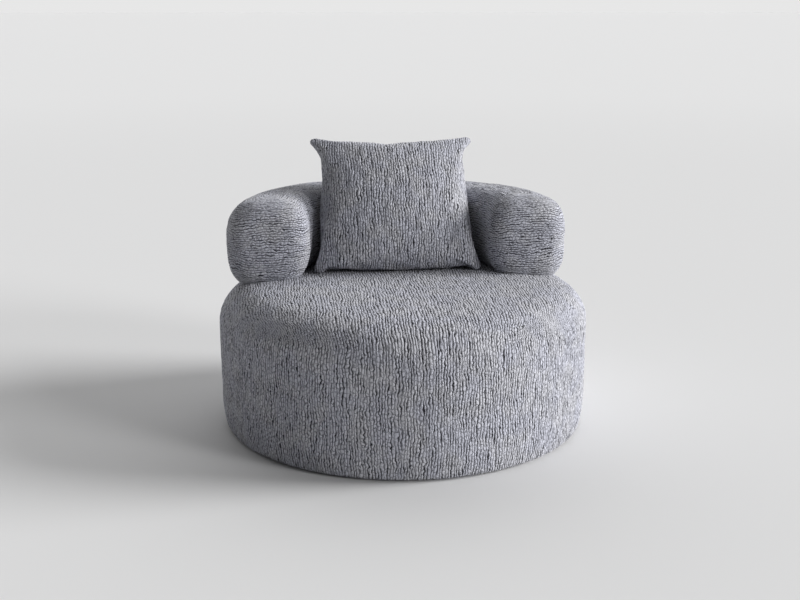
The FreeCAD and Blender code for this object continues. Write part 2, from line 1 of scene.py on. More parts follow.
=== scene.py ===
import bpy
import itertools
import math
import numpy as np
from mathutils import Euler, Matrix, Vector


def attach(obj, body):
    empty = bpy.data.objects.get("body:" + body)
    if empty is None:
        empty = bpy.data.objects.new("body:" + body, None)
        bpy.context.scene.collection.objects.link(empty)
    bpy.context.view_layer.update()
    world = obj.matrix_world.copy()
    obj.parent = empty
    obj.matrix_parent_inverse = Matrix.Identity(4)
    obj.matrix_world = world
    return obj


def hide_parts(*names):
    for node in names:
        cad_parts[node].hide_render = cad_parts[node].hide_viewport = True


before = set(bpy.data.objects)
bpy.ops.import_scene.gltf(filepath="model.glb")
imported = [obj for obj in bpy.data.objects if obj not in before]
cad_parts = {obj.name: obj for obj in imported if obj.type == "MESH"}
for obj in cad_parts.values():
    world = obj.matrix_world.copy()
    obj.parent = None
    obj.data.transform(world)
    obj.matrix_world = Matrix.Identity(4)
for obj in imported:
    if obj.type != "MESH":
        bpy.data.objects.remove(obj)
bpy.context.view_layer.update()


# Shader sockets that can be written into plain expressions.

class Wire:
    def __init__(self, tree, socket=None):
        self.tree = tree
        self.socket = socket

    def make(self, kind, settings=None, inputs=None, output=0):
        node = self.tree.nodes.new("ShaderNode" + kind)
        for name, value in (settings or {}).items():
            setattr(node, name, value)
        for name, value in (inputs or {}).items():
            if isinstance(value, Wire):
                self.tree.links.new(value.socket, node.inputs[name])
            else:
                node.inputs[name].default_value = value
        return Wire(self.tree, node.outputs[output] if len(node.outputs) else None)

    def maths(self, operation, first, second=0.0, third=0.0):
        return self.make("Math", {"operation": operation}, {0: first, 1: second, 2: third})

    def __add__(self, other):
        return self.maths("ADD", self, other)

    def __radd__(self, other):
        return self.maths("ADD", other, self)

    def __sub__(self, other):
        return self.maths("SUBTRACT", self, other)

    def __rsub__(self, other):
        return self.maths("SUBTRACT", other, self)

    def __mul__(self, other):
        return self.maths("MULTIPLY", self, other)

    def __rmul__(self, other):
        return self.maths("MULTIPLY", other, self)

    def __truediv__(self, other):
        return self.maths("DIVIDE", self, other)

    def __pow__(self, other):
        return self.maths("POWER", self, other)

    def between(self, low, high):
        settings = {"interpolation_type": "SMOOTHSTEP"}
        return self.make("MapRange", settings, {0: self, 1: low, 2: high, 3: 0.0, 4: 1.0})

    def blendColours(self, first, second):
        settings = {"data_type": "RGBA"}
        return self.make("Mix", settings, {0: self, 6: first, 7: second}, 2)

    def stretch(self, amounts):
        return self.make("VectorMath", {"operation": "MULTIPLY"}, {0: self, 1: amounts})

    def noise(self, place, scale, detail=2.0, roughness=0.5):
        inputs = {"Vector": place, "Scale": scale, "Detail": detail, "Roughness": roughness}
        return self.make("TexNoise", {}, inputs)


def startFinish(name):
    material = bpy.data.materials.new(name)
    material.use_nodes = True
    tree = material.node_tree
    tree.nodes.clear()
    wire = Wire(tree)
    place = wire.make("TexCoord", output=3)
    return material, wire, place


def endFinish(wire, sockets):
    surface = wire.make("BsdfPrincipled", {}, sockets)
    wire.make("OutputMaterial", {}, {"Surface": surface})


def rgb(red, green, blue):
    return (red, green, blue, 1.0)


# Noise for the modelled folds of the cloth: fixed by its seed, so every run is the same.

def scramble(cells, seed):
    mixed = cells[:, 0] * 73856093 ^ cells[:, 1] * 19349663 ^ cells[:, 2] * 83492791 ^ seed * 40503
    mixed = (mixed ^ mixed >> 13) * 1274126177 & 0xFFFFFFFF
    mixed = (mixed ^ mixed >> 15) * 2246822519 & 0xFFFFFFFF
    return (mixed >> 8 & 0xFFFF) / 65535.0


def scramble3(cells, seed):
    return np.stack([scramble(cells, seed + axis * 101) for axis in range(3)], axis=1)


def waveNoise(points, seed):
    base = np.floor(points).astype(np.int64)
    part = points - base
    ease = part ** 3 * (part * (part * 6 - 15) + 10)
    total = np.zeros(len(points))
    for corner in itertools.product((0, 1), repeat=3):
        corner = np.array(corner)
        lean = scramble3(base + corner, seed) * 2 - 1
        weight = np.prod(np.where(corner == 1, ease, 1 - ease), axis=1)
        total += weight * ((part - corner) * lean).sum(axis=1)
    return total * 1.7


def smooth(values, low, high):
    share = np.clip((values - low) / (high - low), 0, 1)
    return share * share * (3 - 2 * share)


cloth = {
    "rib": 2 * math.pi * 0.540 / 430,   # a whole number of ribs goes round the drum
    "knot": 0.0130,
    "stray": 0.0050,           # how far the furrows wander
    "jitter": 0.0028,
    "depth": 0.0012,           # of the deepest furrow
    "proud": 0.0008,           # the ribs between them stand this far out
    "swell": 0.0010,
    "fuzz": 0.0003,
    "fuzzSize": 0.0045,
    "fuzzSeed": 5,
    "gapShare": 0.38,          # of a rib, from the middle of a furrow to its edge
    "strength": (0.12, 0.54, 1),    # of the furrows: least, middle and most
    # across and along the ribs, the size of the waves in which each of these changes
    "strayWaves": (0.05, 0.09),
    "jitterWaves": (0.013, 0.022),
    "runWaves": (0.03, 0.05),
    "strengthWaves": (0.0100, 0.038),
    "swellWaves": (0.020, 0.050),
}


def crinkle(across, along, space, seed):
    # across and along place the ribs and their knots
    # space, which has its second axis along the ribs, moves them about
    def noise(waves, shift):
        wide, long = cloth[waves]
        return waveNoise(space / np.array([wide, long, wide]), seed + shift)

    side = across + cloth["stray"] * noise("strayWaves", 0) + cloth["jitter"] * noise("jitterWaves", 3)
    run = along + cloth["stray"] * noise("runWaves", 7)
    rib = side / cloth["rib"]
    least, middle, most = cloth["strength"]
    strength = np.clip(middle + noise("strengthWaves", 11), least, most)
    gap = 1 - smooth(np.abs(rib - np.round(rib)), 0.0, cloth["gapShare"])
    lift = cloth["swell"] * noise("swellWaves", 17) - cloth["depth"] * gap * strength
    grain = np.stack([rib, run / cloth["knot"], space[:, 2] / cloth["rib"]], axis=1)
    return {"lift": lift, "furrow": strength, "grain": grain}


# Meshes from rings of points: neighbouring rings have the same count, or one has twice the other's.

def ringFaces(counts, closeStart, closeEnd):
    starts = np.concatenate([[0], np.cumsum(counts)])
    faces = []
    for index in range(len(counts) - 1):
        first, second = counts[index], counts[index + 1]
        a, b = starts[index], starts[index + 1]
        for turn in range(min(first, second)):
            if first == second:
                following = (turn + 1) % first
                faces.append((a + turn, b + turn, b + following, a + following))
            elif second > first:
                here, middle, there = b + 2 * turn, b + 2 * turn + 1, b + (2 * turn + 2) % second
                following = a + (turn + 1) % first
                faces.append((a + turn, here, middle))
                faces.append((a + turn, middle, following))
                faces.append((following, middle, there))
            else:
                here, middle, there = a + 2 * turn, a + 2 * turn + 1, a + (2 * turn + 2) % first
                following = b + (turn + 1) % second
                faces.append((here, b + turn, middle))
                faces.append((middle, b + turn, following))
                faces.append((middle, following, there))
    if closeStart:
        faces.append(tuple(range(counts[0])))
    if closeEnd:
        faces.append(tuple(starts[-2] + turn for turn in range(counts[-1]))[::-1])
    return [tuple(int(corner) for corner in face) for face in faces]


def newPiece(name, points, faces):
    mesh = bpy.data.meshes.new(name)
    mesh.from_pydata([tuple(point) for point in points], [], faces)
    mesh.polygons.foreach_set("use_smooth", np.ones(len(mesh.polygons), dtype=bool))
    mesh.update()
    piece = bpy.data.objects.new(name, mesh)
    bpy.context.collection.objects.link(piece)
    return piece


def pointsOf(mesh):
    flat = np.empty(len(mesh.vertices) * 3)
    mesh.vertices.foreach_get("co", flat)
    return flat.reshape(-1, 3)


def normalsOf(mesh):
    flat = np.empty(len(mesh.vertices) * 3)
    mesh.vertex_normals.foreach_get("vector", flat)
    return flat.reshape(-1, 3)


def setPoints(mesh, points):
    mesh.vertices.foreach_set("co", points.reshape(-1))
    mesh.update()


def keepOnPoints(mesh, name, values):
    flat = values.ndim == 1
    store = mesh.attributes.new(name, "FLOAT" if flat else "FLOAT_VECTOR", "POINT")
    store.data.foreach_set("value" if flat else "vector", values.astype(np.float32).reshape(-1))


def dress(piece, normals, main, other=None, share=None):
    # furrows are pressed in along the normals; the finish reads their strength and the cloth's grain,
    # which turns from the main one to the other where share goes from 0 to 1
    mesh = piece.data
    points = pointsOf(mesh)
    other = main if other is None else other
    share = np.zeros(len(points)) if share is None else share
    lift = main["lift"] + share * (other["lift"] - main["lift"])
    fuzz = waveNoise(points / cloth["fuzzSize"], cloth["fuzzSeed"])
    lift = lift + cloth["fuzz"] * fuzz + cloth["proud"]
    setPoints(mesh, points + normals * lift[:, None])
    keepOnPoints(mesh, "furrow", main["furrow"] + share * (other["furrow"] - main["furrow"]))
    keepOnPoints(mesh, "grain", main["grain"])
    keepOnPoints(mesh, "turnedGrain", other["grain"])
    keepOnPoints(mesh, "turned", share)


# Drum: the outline is walked in metres from the axis over the crown and the shoulder to the hem.

drum = {
    "radius": 0.540,
    "height": 0.396,
    "crown": 0.036,           # of the whole top, highest on the axis
    "crownPower": 4,          # nearly level in the middle, falling off towards the shoulder
    "shoulderRun": 0.106,
    "shoulderDrop": 0.083,
    "shoulderRadius": 0.078,
    "drawInRadius": 0.368,
    "drawInHeight": 0.097,
    "hemRadius": 0.012,
    "hemInner": 0.450,
    "hemFold": 0.003,
    "floorGap": 0.005,
    "seam": 0.62,             # share of the shoulder's turn where the top panel ends
    "columns": 1600,
    "leastColumns": 50,
    "leastEdge": 0.0014,      # below this, a ring gets half the columns
    "step": 0.0050,           # between rings on top
    "sideStep": 0.0076,
    "ease": 0.0022,           # slow unevenness of the stuffing
    "easeWaves": (0.19, 0.09),
    "easeSeeds": (71, 72),
    "easeFrom": (0.02, 0.10),       # levels between which it sets in
    "turnOver": (0.36, 0.92),       # upward share of the normal where the side's ribs become the top's
    "ahead": (0.70, 1.15),          # turn from the front, in radians, up to which the ribs run on
    "meetLevel": 0.87,              # what the side's level lies above the top's depth where they meet
    "seed": 40,
}


def arcPoints(centre, radius, fromAngle, toAngle, count):
    angles = np.radians(np.linspace(fromAngle, toAngle, count))
    return np.stack([centre[0] + radius * np.cos(angles), centre[1] + radius * np.sin(angles)], axis=1)


def drumOutline():
    d = drum
    run, drop, small = d["shoulderRun"], d["shoulderDrop"], d["shoulderRadius"]
    large = (run ** 2 + drop ** 2 - 2 * run * small) / (2 * (drop - small))
    upper = (d["radius"] - run, d["height"] - large)
    lower = (d["radius"] - small, d["height"] - drop)
    meet = math.degrees(math.atan2(lower[1] - upper[1], lower[0] - upper[0]))
    hemLevel = d["floorGap"] + d["hemRadius"]
    drawCentre = (d["radius"] - d["drawInRadius"], d["drawInHeight"])
    drawReach = d["drawInRadius"] - d["hemRadius"]
    drawTurn = math.degrees(math.asin((d["drawInHeight"] - hemLevel) / drawReach))
    reach = drawReach * math.cos(math.radians(drawTurn))
    hemCentre = (drawCentre[0] + reach, hemLevel)
    flat = np.stack([np.linspace(0, upper[0], 61)[:-1], np.full(60, d["height"])], axis=1)
    shoulder = [arcPoints(upper, large, 90, meet, 120), arcPoints(lower, small, meet, 0, 160)]
    top = np.concatenate([flat, *shoulder])
    top[:, 1] += d["crown"] * (1 - (top[:, 0] / d["radius"]) ** d["crownPower"])
    return np.concatenate([
        top,
        arcPoints(drawCentre, d["drawInRadius"], 0, -drawTurn, 60),
        arcPoints(hemCentre, d["hemRadius"], -drawTurn, -90, 30),
        [(d["hemInner"], d["floorGap"]), (d["hemInner"], d["floorGap"] + d["hemFold"])],
    ])


def lengthsAlong(line):
    steps = np.sqrt((np.diff(line, axis=0) ** 2).sum(axis=1))
    return np.concatenate([[0], np.cumsum(steps)])


def walk(line, places):
    lengths = lengthsAlong(line)
    return np.stack([np.interp(places, lengths, line[:, axis]) for axis in range(line.shape[1])], axis=1)


def turnRings(outline, counts):
    rings = []
    for (radius, level), count in zip(outline, counts):
        angles = np.arange(count) * 2 * math.pi / count
        ring = np.stack([radius * np.sin(angles), -radius * np.cos(angles), np.full(count, level)], axis=1)
        rings.append(ring)
    return np.concatenate(rings)


def drumGrain(points, normals):
    # upright ribs round the side, ribs from front to back on top: in front they run into each other,
    # and further round they change over on the shoulder
    x, y, z = points.T
    turn = np.arctan2(x, -y)
    share = smooth(normals[:, 2], *drum["turnOver"])
    ahead = 1 - smooth(np.abs(turn), *drum["ahead"])
    side = np.stack([turn * drum["radius"], x, z - drum["meetLevel"], y], axis=1)
    top = np.stack([x, x, y, 0 * y - drum["radius"]], axis=1)
    sideGrain = side + (ahead * share)[:, None] * (top - side)
    topGrain = top + (ahead * (1 - share))[:, None] * (side - top)
    grains = (sideGrain, topGrain)
    ribs = [crinkle(grain[:, 0], grain[:, 2], grain[:, 1:], drum["seed"]) for grain in grains]
    return *ribs, share


def slowWaves(points, shape):
    coarse, fine = shape["easeWaves"]
    first, second = shape["easeSeeds"]
    return waveNoise(points / coarse, first) + 0.5 * waveNoise(points / fine, second)


def easedDrum(points, normals):
    slow = slowWaves(points, drum)
    hold = smooth(points[:, 2], *drum["easeFrom"])
    return points + normals * (drum["ease"] * slow * hold)[:, None]


def outlineNormals(outline):
    lengths = lengthsAlong(outline)
    spread = 0.0015
    ahead = walk(outline, np.clip(lengths + spread, 0, lengths[-1]))
    behind = walk(outline, np.clip(lengths - spread, 0, lengths[-1]))
    line = ahead - behind
    line /= np.sqrt((line ** 2).sum(axis=1))[:, None]
    return np.stack([-line[:, 1], line[:, 0]], axis=1)


def buildDrum():
    outline = drumOutline()
    lengths = lengthsAlong(outline)
    normals = outlineNormals(outline)
    turned = np.degrees(np.arctan2(normals[:, 0], normals[:, 1]))
    seam = lengths[np.argmax(turned > 90 * drum["seam"])]
    top = np.linspace(0, seam, int(seam / drum["step"]) + 1)[1:]
    # the outline's last two points turn the hem under and up
    hem = lengths[-3]
    side = np.linspace(seam, hem, int((hem - seam) / drum["sideStep"]) + 1)
    side = np.concatenate([side, np.linspace(hem, lengths[-2], 6)[1:], lengths[-1:]])
    pieces = []
    for name, places in (("seatTop", top), ("seatSide", side)):
        spots = walk(outline, places)
        counts = []
        for radius, level in spots:
            count = drum["columns"]
            least = drum["leastColumns"] if name == "seatTop" else count
            while count > least and 2 * math.pi * radius / count < drum["leastEdge"]:
                count //= 2
            counts.append(count)
        points = turnRings(spots, counts)
        piece = newPiece(name, points, ringFaces(counts, name == "seatTop", False))
        slopes = np.stack([np.interp(places, lengths, normals[:, axis]) for axis in range(2)], axis=1)
        outward = turnRings(slopes, counts)
        outward /= np.sqrt((outward ** 2).sum(axis=1))[:, None]
        points = easedDrum(points, outward)
        setPoints(piece.data, points)
        dress(piece, outward, *drumGrain(points, outward))
        pieces.append(piece)
    return pieces


seatTop, seatSide = buildDrum()
print("drum covered:", len(seatTop.data.polygons), "and", len(seatSide.data.polygons), "faces")


# Roll: one soft section carried round the back, with full rounded arm ends.

roll = {
    "radius": 0.386,
    "setBack": 0.020,
    "shift": -0.0084,
    "width": 0.243,
    "height": 0.259,
    "foot": 0.396,
    "reach": 96,              # degrees to each side of the back
    "tipRound": 0.060,
    "tipCrown": 0.0025,
    "tipTurn": 8,             # degrees that the arm ends face outward
    "tipTurnRun": 0.20,
    "columns": 400,
    "leastColumns": 25,
    "leastEdge": 0.0015,
    "girth": 0.85,
    "rings": 200,
    "squareness": (2.45, 3.3, 2.75, 3.3),   # inner foot, inner top, outer top, outer foot
    "ease": 0.0025,
    "easeWaves": (0.15, 0.07),
    "easeSeeds": (81, 82),
    "ringBlend": 0.03,        # how softly the ribs of walls and arm ends meet on top
    "seed": 60,
}


def rollSection(columns):
    # from under the foot up the inner side, over the top and down the outer side
    corners = []
    for quarter, power in enumerate(roll["squareness"]):
        angles = np.radians(np.linspace(90 * quarter, 90 * quarter + 90, 241)[:-1] - 90)
        x, z = -np.cos(angles), np.sin(angles)
        x = np.sign(x) * np.abs(x) ** (2 / power)
        z = np.sign(z) * np.abs(z) ** (2 / power)
        corners.append(np.stack([x * roll["width"] / 2, z * roll["height"] / 2], axis=1))
    loop = np.concatenate(corners)
    closed = np.concatenate([loop, loop[:1]])
    places = np.arange(columns) * lengthsAlong(closed)[-1] / columns
    return walk(closed, places)


def rollRings(columns, rings):
    section = rollSection(columns)
    half = np.array([roll["width"] / 2, roll["height"] / 2])
    rim = 1 - roll["tipRound"] / half
    reach = math.radians(roll["reach"]) * roll["radius"]
    start = -reach + roll["tipCrown"]
    shape = [(-reach + roll["tipCrown"] * share ** 2, rim * share) for share in np.linspace(0, 1, 15)[1:]]
    for turn in np.radians(np.linspace(0, 90, 24)[1:]):
        depth = (roll["tipRound"] - roll["tipCrown"]) * (1 - math.cos(turn))
        shape.append((start + depth, rim + (1 - rim) * math.sin(turn)))
    body = [(place, np.ones(2)) for place in np.linspace(shape[-1][0], -shape[-1][0], rings)[1:-1]]
    otherEnd = [(-place, inward) for place, inward in shape[::-1]]
    facing = math.tan(math.radians(roll["tipTurn"]))
    points, counts, spots = [], [], []
    for place, inward in shape + body + otherEnd:
        count = columns
        while count > roll["leastColumns"] and roll["girth"] * inward[0] / count < roll["leastEdge"]:
            count //= 2
        loop = section[:: columns // count] * inward
        distance = roll["radius"] + loop[:, 0]
        turned = facing * smooth(abs(place), reach - roll["tipTurnRun"], reach)
        angle = (place - math.copysign(turned, place) * loop[:, 0]) / roll["radius"]
        x = distance * np.sin(angle) + roll["shift"]
        y = distance * np.cos(angle) + roll["setBack"]
        points.append(np.stack([x, y, roll["foot"] + half[1] + loop[:, 1]], axis=1))
        spots.append(np.stack([np.full(count, place), distance], axis=1))
        counts.append(count)
    return np.concatenate(points), counts, np.concatenate(spots)


def softLeast(first, second, blend):
    # the lesser of two, rounded where they are nearly equal
    share = np.clip(0.5 + 0.5 * (second - first) / blend, 0, 1)
    return second + (first - second) * share - blend * share * (1 - share)


def rollGrain(points, spots):
    # level ribs round the walls and across the arm ends, closing in rings on top
    along, distance = spots.T
    reach = math.radians(roll["reach"]) * roll["radius"]
    beside = distance - roll["radius"]
    fromTip = reach - np.abs(along)
    level = points[:, 2] - roll["foot"] - roll["height"] / 2
    inward = softLeast(fromTip, roll["width"] / 2 - np.abs(beside), roll["ringBlend"])
    across = level + np.clip(level / roll["ringBlend"], -1, 1) * inward
    outerRun = np.abs(along) - beside
    innerRun = 2 * reach - np.abs(along) - beside
    run = np.sign(along) * np.where(beside > 0, outerRun, innerRun)
    space = np.stack([across, along + beside, 0.25 * beside], axis=1)
    return crinkle(across, run, space, roll["seed"])


def buildRoll():
    points, counts, spots = rollRings(roll["columns"], roll["rings"])
    piece = newPiece("roll", points, ringFaces(counts, True, True))
    normals = normalsOf(piece.data)
    points = points + normals * (roll["ease"] * slowWaves(points, roll))[:, None]
    setPoints(piece.data, points)
    dress(piece, normals, rollGrain(points, spots))
    return piece


rollPiece = buildRoll()
print("roll covered:", len(rollPiece.data.polygons), "faces")


# Pillow: two filled panels sewn together, then settled on the seat and against the roll as cloth.

pillow = {
    "top": 0.498,
    "foot": 0.520,
    "height": 0.462,
    "thickness": 0.178,
    "corner": 0.10,                # share of a half side that the corners are rounded by
    "ears": (0.012, 0.002),        # how far the top corners stand out and up
    "earPower": 4,
    "fullness": (2.4, 0.55),
    "sideDraw": 0.014,             # how far the middle of an edge is drawn in
    "topDraw": 0.016,
    "footDraw": -0.004,
    "cells": (54, 50),
    "lean": 30,
    "tilt": -0.2,
    "start": (-0.011, 0.165, 0.646),
    "rest": (-0.011, 0.160, 0.632),
    "frames": 55,
    "pull": (0.0, 2.0, -8.0),      # down and back, so that it also leans
    "weight": 0.024,
    "clear": 0.002,
    "friction": 8,
    "contactSteps": 3,
    "fabric": {
        "quality": 7,
        "mass": 0.3,
        "air_damping": 2.0,
        "tension_stiffness": 40,
        "compression_stiffness": 40,
        "shear_stiffness": 12,
        "bending_stiffness": 8,
        "tension_damping": 20,
        "compression_damping": 20,
        "shear_damping": 20,
        "bending_damping": 3,
        "use_pressure": True,
        "uniform_pressure_force": 3.6,
    },
    "seed": 90,
}


def roundedCorner(u, v):
    # draws the corners of a square of half side 1 in to arcs
    part = pillow["corner"]
    a, b = (abs(u) - 1 + part) / part, (abs(v) - 1 + part) / part
    if a <= 0 or b <= 0:
        return u, v
    across = 1 - part + part * a * math.sqrt(1 - b * b / 2)
    up = 1 - part + part * b * math.sqrt(1 - a * a / 2)
    return math.copysign(across, u), math.copysign(up, v)


def panelSpot(i, j, side):
    across, up = pillow["cells"]
    u = math.sin((i / across - 0.5) * math.pi)
    v = math.sin((j / up - 0.5) * math.pi)
    curve, power = pillow["fullness"]
    puff = ((1 - abs(u) ** curve) * (1 - abs(v) ** curve)) ** power
    u, v = roundedCorner(u, v)
    half = (pillow["foot"] + (pillow["top"] - pillow["foot"]) * (v + 1) / 2) / 2
    draw = pillow["topDraw"] if v > 0 else pillow["footDraw"]
    ear = (abs(u) * max(v, 0)) ** pillow["earPower"]
    x = u * (half - pillow["sideDraw"] * (1 - v * v) * abs(u) + pillow["ears"][0] * ear)
    y = v * (pillow["height"] / 2 - draw * (1 - u * u) * abs(v) + pillow["ears"][1] * ear)
    return x, y, side * puff * pillow["thickness"] / 2


def sewnPanels():
    across, up = pillow["cells"]
    points, faces, numbers = [], [], {}

    def number(i, j, side):
        edge = i in (0, across) or j in (0, up)
        key = (i, j, 0 if edge else side)
        if key not in numbers:
            numbers[key] = len(points)
            points.append(panelSpot(*key))
        return numbers[key]

    for side in (1, -1):
        for i, j in itertools.product(range(across), range(up)):
            spots = ((i, j), (i + 1, j), (i + 1, j + 1), (i, j + 1))
            corners = [number(*spot, side) for spot in spots]
            faces.append(tuple(corners[::side]))
    return np.array(points), faces, numbers


def clothSpots(points, numbers):
    # where each point lies on the cloth itself, measured along the filled panels from their middle
    across, up = pillow["cells"]
    spots = np.zeros_like(points)
    for side in (-1, 1):
        cells = itertools.product(range(across + 1), range(up + 1))
        grid = [numbers.get((i, j, side), numbers.get((i, j, 0))) for i, j in cells]
        grid = np.array(grid).reshape(across + 1, up + 1)
        for axis, middle in ((0, across // 2), (1, up // 2)):
            steps = np.linalg.norm(np.diff(points[grid], axis=axis), axis=2)
            run = np.insert(np.cumsum(steps, axis=axis), 0, 0, axis=axis)
            spots[grid, axis] = run - np.take(run, [middle], axis=axis)
        spots[grid[1:-1, 1:-1], 2] = side * pillow["thickness"] / 2
    return spots


def leant(points, centre):
    lean, tilt = math.radians(pillow["lean"]), math.radians(pillow["tilt"])
    across = points[:, 0] * math.cos(tilt) - points[:, 1] * math.sin(tilt)
    up = points[:, 0] * math.sin(tilt) + points[:, 1] * math.cos(tilt)
    upward = np.array([0, math.sin(lean), math.cos(lean)])
    forward = np.array([0, -math.cos(lean), math.sin(lean)])
    sideways = np.array([1, 0, 0])
    moved = np.array(centre) + np.outer(across, sideways) + np.outer(up, upward)
    return moved + np.outer(points[:, 2], forward)


def plainRests():
    # coarse, smooth copies of the seat's top and the roll, only for the pillow to settle on
    spots = walk(drumOutline(), np.linspace(0.01, 0.56, 40))
    counts = [96] * len(spots)
    seat = newPiece("plainSeat", turnRings(spots, counts), ringFaces(counts, True, False))
    points, counts, spots = rollRings(48, 90)
    return seat, newPiece("plainRoll", points, ringFaces(counts, True, True))


def settle(piece):
    rests = plainRests()
    for rest in rests:
        rest.modifiers.new("rest", "COLLISION")
        rest.collision.thickness_outer = pillow["clear"]
        rest.collision.cloth_friction = pillow["friction"]
    modifier = piece.modifiers.new("cloth", "CLOTH")
    for name, value in pillow["fabric"].items():
        setattr(modifier.settings, name, value)
    modifier.settings.effector_weights.gravity = pillow["weight"]
    modifier.collision_settings.distance_min = pillow["clear"]
    modifier.collision_settings.collision_quality = pillow["contactSteps"]
    modifier.point_cache.frame_end = pillow["frames"]
    scene = bpy.context.scene
    scene.gravity = pillow["pull"]
    for number in range(1, pillow["frames"] + 1):
        scene.frame_set(number)
    graph = bpy.context.evaluated_depsgraph_get()
    settled = pointsOf(piece.evaluated_get(graph).data)
    piece.modifiers.clear()
    scene.frame_set(1)
    for rest in rests:
        bpy.data.objects.remove(rest)
    return settled


def subdivided(name, points, faces):
    coarse = newPiece(name + "Coarse", points, faces)
    coarse.modifiers.new("finer", "SUBSURF").levels = 2
    graph = bpy.context.evaluated_depsgraph_get()
    fine = bpy.data.meshes.new_from_object(coarse.evaluated_get(graph))
    bpy.data.objects.remove(coarse)
    fine.name = name
    return fine


def buildPillow():
    flat, faces, numbers = sewnPanels()
    soft = newPiece("pillowSoft", leant(flat, pillow["start"]), faces)
    settled = settle(soft)
    bpy.data.objects.remove(soft)
    low, high = settled.min(axis=0), settled.max(axis=0)
    print("pillow settled between", np.round(low, 3), "and", np.round(high, 3))
    mesh = subdivided("pillowCover", settled, faces)
    piece = bpy.data.objects.new("pillowCover", mesh)
    bpy.context.collection.objects.link(piece)
    spots = pointsOf(subdivided("pillowSpots", clothSpots(settled, numbers), faces))
    dress(piece, normalsOf(mesh), crinkle(spots[:, 0], spots[:, 1], spots, pillow["seed"]))
    return piece


pillowPiece = buildPillow()
print("pillow covered:", len(pillowPiece.data.polygons), "faces")


# Finishes.

yarn = {
    "light": (rgb(0.655, 0.665, 0.745), rgb(0.69, 0.695, 0.745)),
    "shade": (rgb(0.29, 0.295, 0.340), rgb(0.31, 0.31, 0.340)),
    # painted shade: the near-black colour towards which furrows and the gaps between knots are painted
    "furrowShade": rgb(0.016, 0.016, 0.021),
    "stray": 0.60,               # share of a rib that its edges wander
    "knotStray": 0.80,
    "slip": 7.0,                 # knots by which a rib's may lie off its neighbour's
    "mix": {"tone": 0.30, "pile": 0.85, "less": 0.08},      # what makes a spot light or shaded
    "ribEdge": (0.36, 0.90),
    "knotEdge": (0.56, 1.0),
    "ribShade": (0.40, 0.75),     # with no furrow, and what the deepest one adds
    "knotShade": (0.24, 0.60),
    "relief": 0.0021,
}


def chenilleFinish():
    material, wire, place = startFinish("chenille")

    def kept(name, output):
        return wire.make("Attribute", {"attribute_name": name}, {}, output)

    def gapAt(count):
        # 1 on the line between two neighbours and 0 in the middle of each
        return 1.0 - 2.0 * wire.maths("PINGPONG", count, 0.5)

    def weave(grain):
        rib, knot = (wire.make("SeparateXYZ", {}, {0: grain}, axis) for axis in (0, 1))
        spots = grain.stretch((1.0, 1.4, 1.0))
        rib = rib + (wire.noise(spots, 0.75, 1.0) - 0.5) * (2 * yarn["stray"])
        row = wire.maths("FLOOR", rib)
        slip = wire.make("TexWhiteNoise", {"noise_dimensions": "1D"}, {"W": row}, 0)
        knot = knot + slip * yarn["slip"] + (wire.noise(spots, 0.9, 1.0) - 0.5) * (2 * yarn["knotStray"])
        # any uneven factor gives each knot of each rib a number of its own
        cell = row * 17.31 + wire.maths("FLOOR", knot)
        tone = wire.make("TexWhiteNoise", {"noise_dimensions": "1D"}, {"W": cell}, 0)
        return gapAt(rib), gapAt(knot), tone

    turned = kept("turned", 2)
    strength = kept("furrow", 2)
    pairs = zip(weave(kept("grain", 1)), weave(kept("turnedGrain", 1)))
    ribGap, knotGap, tone = (first + turned * (second - first) for first, second in pairs)
    patch = wire.noise(place, 13.0, 2.0, 0.5).between(0.40, 0.62)
    pile = wire.noise(place, 520.0, 2.0, 0.6)
    light = patch.blendColours(*yarn["light"])
    shade = patch.blendColours(*yarn["shade"])
    mix = yarn["mix"]
    body = (tone * mix["tone"] + pile * mix["pile"] - mix["less"]).blendColours(shade, light)
    # Painted shade: furrows and the gaps between knots are painted towards the near-black colour, the more
    # so where a furrow is deeper.
    least, more = yarn["ribShade"]
    ribShade = ribGap.between(*yarn["ribEdge"]) * (least + strength * more)
    least, more = yarn["knotShade"]
    knotShade = knotGap.between(*yarn["knotEdge"]) * (least + tone * more)
    dark = wire.maths("MAXIMUM", ribShade, knotShade)
    colour = dark.blendColours(body, yarn["furrowShade"])
    height = 0.35 * pile - ribGap ** 2.0 * (0.5 + strength * 0.5) - 0.45 * knotGap ** 2.0
    bump = wire.make("Bump", {}, {"Strength": 0.9, "Distance": yarn["relief"], "Height": height})
    endFinish(wire, {
        "Base Color": colour,
        "Roughness": 0.92,
        "Specular IOR Level": 0.15,
        "Sheen Weight": 0.3,
        "Sheen Roughness": 0.45,
        "Sheen Tint": rgb(0.86, 0.87, 0.92),
        "Normal": bump,
    })
    return material


chenille = chenilleFinish()
for piece in (seatTop, seatSide, rollPiece, pillowPiece):
    piece.data.materials.clear()
    piece.data.materials.append(chenille)
    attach(piece, "pillow" if piece is pillowPiece else "chair")
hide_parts("seat_foam")
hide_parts("seat_cover", "side_foam")
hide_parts("roll_cover", "roll_foam")
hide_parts("pillow_cover", "pillow_insert")


def woodFinish(name, light, dark, ply):
    # long grain along x, with the plies' edges as thin lines where ply is above 0
    material, wire, place = startFinish(name)
    grain = wire.noise(place.stretch((3.0, 60.0, 60.0)), 1.0, 4.0, 0.6)
    rays = wire.noise(place.stretch((14.0, 220.0, 220.0)), 1.0, 2.0, 0.5)
    tone = (grain * 0.7 + rays * 0.3).between(0.32, 0.68).blendColours(dark, light)
    if ply:
        level = wire.make("SeparateXYZ", {}, {0: place}, 2)
        upright = wire.make("SeparateXYZ", {}, {0: wire.make("NewGeometry", output=1)}, 2)
        edge = 1.0 - wire.maths("ABSOLUTE", upright)
        line = wire.maths("PINGPONG", level / ply, 0.5).between(0.16, 0.30)
        tone = (edge * line * 0.55).blendColours(tone, dark)
    bump = wire.make("Bump", {}, {"Strength": 0.3, "Distance": 0.0006, "Height": grain})
    endFinish(wire, {"Base Color": tone, "Roughness": 0.55 + 0.2 * rays, "Normal": bump})
    return material


